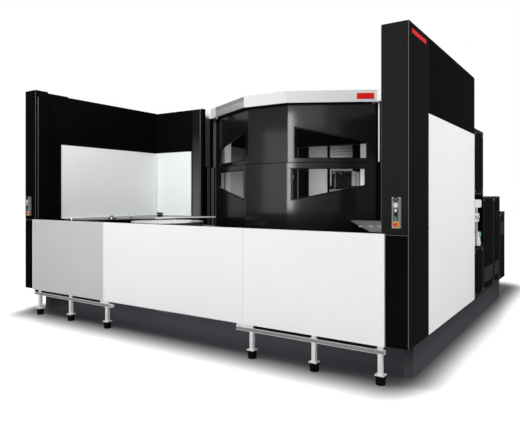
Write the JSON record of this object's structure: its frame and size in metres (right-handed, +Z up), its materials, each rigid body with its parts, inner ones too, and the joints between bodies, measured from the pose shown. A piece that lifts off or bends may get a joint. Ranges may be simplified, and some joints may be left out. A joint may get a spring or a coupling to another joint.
{
  "type": "cnc machining center",
  "caption": "Twin-station horizontal machining center with a white front barrier, black corner columns and a three-faced work-room bay with a telescoping lift door.",
  "frame": {"origin": "on the floor, in the middle of the whole footprint", "axes": "+X to the operator's right, +Y from the loading front to the back, +Z up"},
  "size_m": [6.35, 7.02, 3.585],
  "materials": {
    "black_paint": "satin powder coat",
    "white_paint": "satin powder coat",
    "liner_paint": "satin powder coat",
    "header_paint": "satin silver paint",
    "room_steel": "brushed sheet",
    "stand_paint": "satin paint",
    "foot_rubber": "matte",
    "window_glass": "clear polycarbonate",
    "casting": "painted casting",
    "machined_steel": "ground",
    "chrome_trim": "polished",
    "deck_paint": "satin grey paint",
    "station_plate": "satin plate",
    "red_plastic": "gloss",
    "green_plastic": "gloss",
    "white_plastic": "gloss",
    "black_plastic": "satin"
  },
  "bodies": {
    "frame": {"back_walls": "black_paint", "barrier_stands": "stand_paint", "bay_header": "header_paint", "bay_posts": "black_paint", "bay_sill": "black_paint", "centre_front_panel": "white_paint", "chip_trays": "room_steel", "coolant_tank": "black_paint", "corner_decks": "deck_paint", "electrical_cabinet": "black_paint", "guide_rails": "machined_steel", "hydraulic_unit": "black_paint", "inner_panels": "liner_paint", "left_button_station": "station_plate", "left_column_lower_cover": "black_paint", "left_column_upper_cover": "black_paint", "left_front_panel": "white_paint", "left_outer_panel": "white_paint", "left_side_wall": "black_paint", "leveling_feet": "machined_steel", "machine_bed": "casting", "magazine_housing": "black_paint", "pallet_stands": "casting", "rear_enclosure": "black_paint", "right_button_station": "station_plate", "right_column_lower_cover": "black_paint", "right_column_upper_cover": "black_paint", "right_front_panel": "white_paint", "right_outer_panel": "white_paint", "right_side_wall": "black_paint", "stand_feet": "foot_rubber", "station_pallet": "machined_steel", "upper_cabinet": "black_paint", "work_room_rear_wall": "room_steel", "work_room_roof": "room_steel", "work_room_walls": "room_steel"},
    "lower_door": {"lower_door": "black_paint", "lower_windows": "window_glass"},
    "upper_door": {"upper_door": "black_paint", "upper_windows": "window_glass"},
    "machine_column": {"machine_column": "casting"},
    "spindle_head": {"spindle_head": "casting"},
    "spindle": {"spindle": "machined_steel"},
    "table_saddle": {"table_saddle": "casting"},
    "rotary_table": {"rotary_table": "machined_steel", "table_pallet": "machined_steel"},
    "tool_magazine": {"tool_magazine": "machined_steel"},
    "tool_arm": {"tool_arm": "machined_steel"},
    "front_cabinet_door": {"front_cabinet_door": "black_paint"},
    "rear_cabinet_door": {"rear_cabinet_door": "black_paint"},
    "left_white_button": {"left_white_button": "white_plastic"},
    "left_black_button": {"left_black_button": "black_plastic"},
    "left_green_button": {"left_green_button": "green_plastic"},
    "left_emergency_stop": {"left_emergency_stop": "red_plastic"},
    "left_selector": {"left_selector": "black_plastic"},
    "right_white_button": {"right_white_button": "white_plastic"},
    "right_black_button": {"right_black_button": "black_plastic"},
    "right_green_button": {"right_green_button": "green_plastic"},
    "right_emergency_stop": {"right_emergency_stop": "red_plastic"},
    "right_selector": {"right_selector": "black_plastic"}
  },
  "joints": [
    {"name": "lower_door_lift", "type": "slide", "parent": "frame", "child": "lower_door", "axis": [0, 0, 1], "range_m": [0, 2.1]},
    {"name": "upper_door_lift", "type": "slide", "parent": "frame", "child": "upper_door", "axis": [0, 0, 1], "range_m": [0, 1.05]},
    {"name": "column_travel", "type": "slide", "parent": "frame", "child": "machine_column", "axis": [1, 0, 0], "range_m": [-0.8, 0.8]},
    {"name": "head_travel", "type": "slide", "parent": "machine_column", "child": "spindle_head", "axis": [0, 0, 1], "range_m": [0, 0.95]},
    {"name": "spindle_turn", "type": "hinge", "parent": "spindle_head", "child": "spindle", "pos_m": [0, 1.42, 1.54], "axis": [0, -1, 0], "continuous": true},
    {"name": "table_travel", "type": "slide", "parent": "frame", "child": "table_saddle", "axis": [0, 1, 0], "range_m": [0, 1]},
    {"name": "table_turn", "type": "hinge", "parent": "table_saddle", "child": "rotary_table", "pos_m": [0, -0.14, 1], "axis": [0, 0, 1], "continuous": true},
    {"name": "magazine_turn", "type": "hinge", "parent": "frame", "child": "tool_magazine", "pos_m": [-2.38, 0.66, 2.15], "axis": [-1, 0, 0], "continuous": true},
    {"name": "arm_swing", "type": "hinge", "parent": "frame", "child": "tool_arm", "pos_m": [-1.42, 1.62, 2.3], "axis": [0, -1, 0], "range_deg": [0, 180]},
    {"name": "front_cabinet_door_hinge", "type": "hinge", "parent": "frame", "child": "front_cabinet_door", "pos_m": [3.175, 0.202, 1], "axis": [0, 0, -1], "range_deg": [0, 110]},
    {"name": "rear_cabinet_door_hinge", "type": "hinge", "parent": "frame", "child": "rear_cabinet_door", "pos_m": [3.175, 1.708, 1], "axis": [0, 0, 1], "range_deg": [0, 110]},
    {"name": "left_white_button_press", "type": "slide", "parent": "frame", "child": "left_white_button", "axis": [0, 1, 0], "range_m": [0, 0.004], "stiffness_N_per_m": 400},
    {"name": "left_black_button_press", "type": "slide", "parent": "frame", "child": "left_black_button", "axis": [0, 1, 0], "range_m": [0, 0.004], "stiffness_N_per_m": 400},
    {"name": "left_green_button_press", "type": "slide", "parent": "frame", "child": "left_green_button", "axis": [0, 1, 0], "range_m": [0, 0.004], "stiffness_N_per_m": 400},
    {"name": "left_emergency_stop_press", "type": "slide", "parent": "frame", "child": "left_emergency_stop", "axis": [0, 1, 0], "range_m": [0, 0.005], "stiffness_N_per_m": 600},
    {"name": "left_selector_turn", "type": "hinge", "parent": "frame", "child": "left_selector", "pos_m": [-3.058, -3.475, 1.787], "axis": [0, -1, 0], "range_deg": [-45, 45]},
    {"name": "right_white_button_press", "type": "slide", "parent": "frame", "child": "right_white_button", "axis": [0, 1, 0], "range_m": [0, 0.004], "stiffness_N_per_m": 400},
    {"name": "right_black_button_press", "type": "slide", "parent": "frame", "child": "right_black_button", "axis": [0, 1, 0], "range_m": [0, 0.004], "stiffness_N_per_m": 400},
    {"name": "right_green_button_press", "type": "slide", "parent": "frame", "child": "right_green_button", "axis": [0, 1, 0], "range_m": [0, 0.004], "stiffness_N_per_m": 400},
    {"name": "right_emergency_stop_press", "type": "slide", "parent": "frame", "child": "right_emergency_stop", "axis": [0, 1, 0], "range_m": [0, 0.005], "stiffness_N_per_m": 600},
    {"name": "right_selector_turn", "type": "hinge", "parent": "frame", "child": "right_selector", "pos_m": [3.058, -3.475, 1.787], "axis": [0, -1, 0], "range_deg": [-45, 45]}
  ],
  "couplings": [
    {"joint": "upper_door_lift", "follows": "lower_door_lift", "ratio": 0.5}
  ]
}
